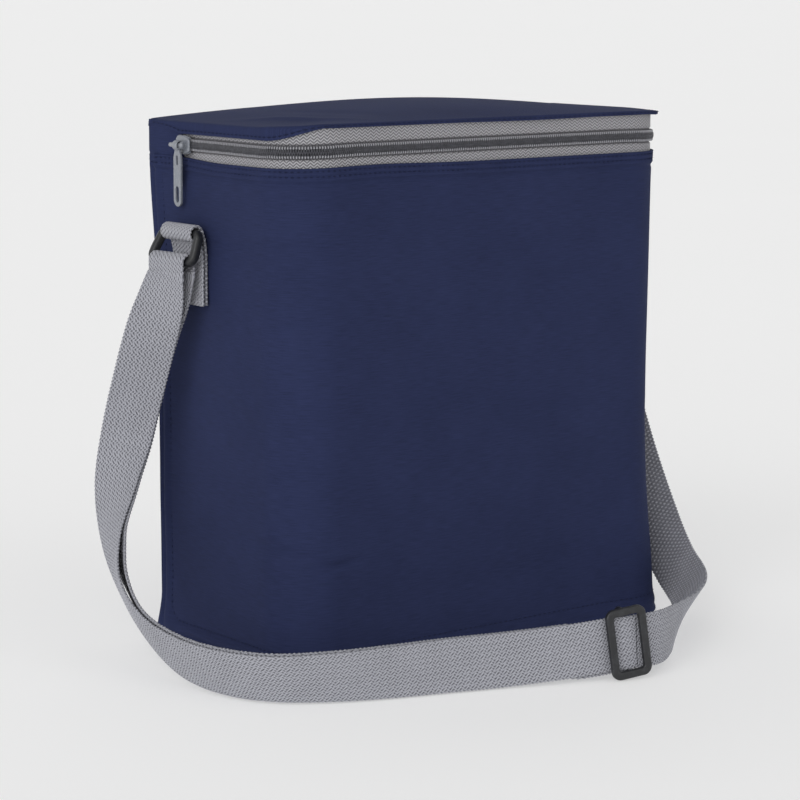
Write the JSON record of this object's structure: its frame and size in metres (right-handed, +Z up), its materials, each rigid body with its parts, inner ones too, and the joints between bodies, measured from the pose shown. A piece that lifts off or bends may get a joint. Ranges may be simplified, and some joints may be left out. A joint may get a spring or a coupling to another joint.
{
  "type": "insulated cooler bag",
  "caption": "Tall soft-sided insulated cooler bag with a zipped fold-back lid, foil lining and an adjustable webbing shoulder strap that hangs down in front of it.",
  "frame": {"origin": "middle of the base's underside, where the bag stands, measured on the bag without its strap", "axes": "+Z up through the lid, -Y out of the wide front face, +X to the right seen from the front"},
  "size_m": [0.311, 0.2053, 0.256],
  "materials": {
    "navy_fabric": "matte woven polyester",
    "insulating_foam": "closed-cell foam",
    "foil_lining": "satin aluminised film",
    "zip_tape": "woven herringbone tape",
    "zip_coil": "nylon coil",
    "zip_slider": "satin paint",
    "webbing": "woven polypropylene",
    "black_plastic": "moulded, satin"
  },
  "bodies": {
    "root": {"front_side_panel": "navy_fabric", "back_panel": "navy_fabric", "base_panel": "navy_fabric", "wall_foam": "insulating_foam", "back_foam": "insulating_foam", "base_foam": "insulating_foam", "wall_lining": "foil_lining", "back_lining": "foil_lining", "base_lining": "foil_lining", "gusset_left": "navy_fabric", "gusset_right": "navy_fabric", "rear_lid_panel": "navy_fabric", "rear_lid_foam": "insulating_foam", "rear_lid_lining": "foil_lining", "zip_tape_lower": "zip_tape", "zip_teeth_lower": "zip_coil", "tab_left": "webbing", "tab_right": "webbing"},
    "lid": {"lid_panel": "navy_fabric", "lid_foam": "insulating_foam", "lid_lining": "foil_lining", "zip_tape_upper": "zip_tape", "zip_teeth_upper": "zip_coil"},
    "slider": {"zip_slider": "zip_slider"},
    "pull": {"zip_pull": "zip_slider"},
    "strap": {"strap_outer_layer": "webbing", "strap_return_layer": "webbing", "strap_right_run": "webbing"},
    "ring_left": {"ring_left": "black_plastic", "strap_loop_left": "webbing"},
    "ring_right": {"ring_right": "black_plastic", "strap_loop_right": "webbing"},
    "triglide": {"triglide": "black_plastic"}
  },
  "joints": [
    {"name": "lid_hinge", "type": "hinge", "parent": "root", "child": "lid", "pos_m": [0, 0.0335, 0.2542], "axis": [-1, 0, 0], "range_deg": [0, 110]},
    {"name": "zip_slide", "type": "slide", "parent": "root", "child": "slider", "axis": [0, -1, 0], "range_m": [0, 0.05]},
    {"name": "pull_swing", "type": "hinge", "parent": "slider", "child": "pull", "pos_m": [-0.1197, 0.027, 0.2398], "axis": [0, 1, 0], "range_deg": [0, 170]},
    {"name": "strap_swing", "type": "hinge", "parent": "root", "child": "strap", "pos_m": [0, 0.022, 0.2], "axis": [-1, 0, 0], "range_deg": [0, 180], "deforming": ["tab_left", "tab_right"]},
    {"name": "ring_left_swing", "type": "hinge", "parent": "strap", "child": "ring_left", "pos_m": [-0.1213, 0.022, 0.2], "axis": [0, 1, 0], "range_deg": [0, 40]},
    {"name": "ring_right_swing", "type": "hinge", "parent": "strap", "child": "ring_right", "pos_m": [0.1213, 0.022, 0.2], "axis": [0, -1, 0], "range_deg": [0, 40]},
    {"name": "triglide_slide", "type": "slide", "parent": "strap", "child": "triglide", "axis": [-0.9523, 0.3001, -0.055], "range_m": [0, 0.05], "deforming": ["strap_outer_layer", "strap_return_layer", "strap_right_run"]}
  ]
}
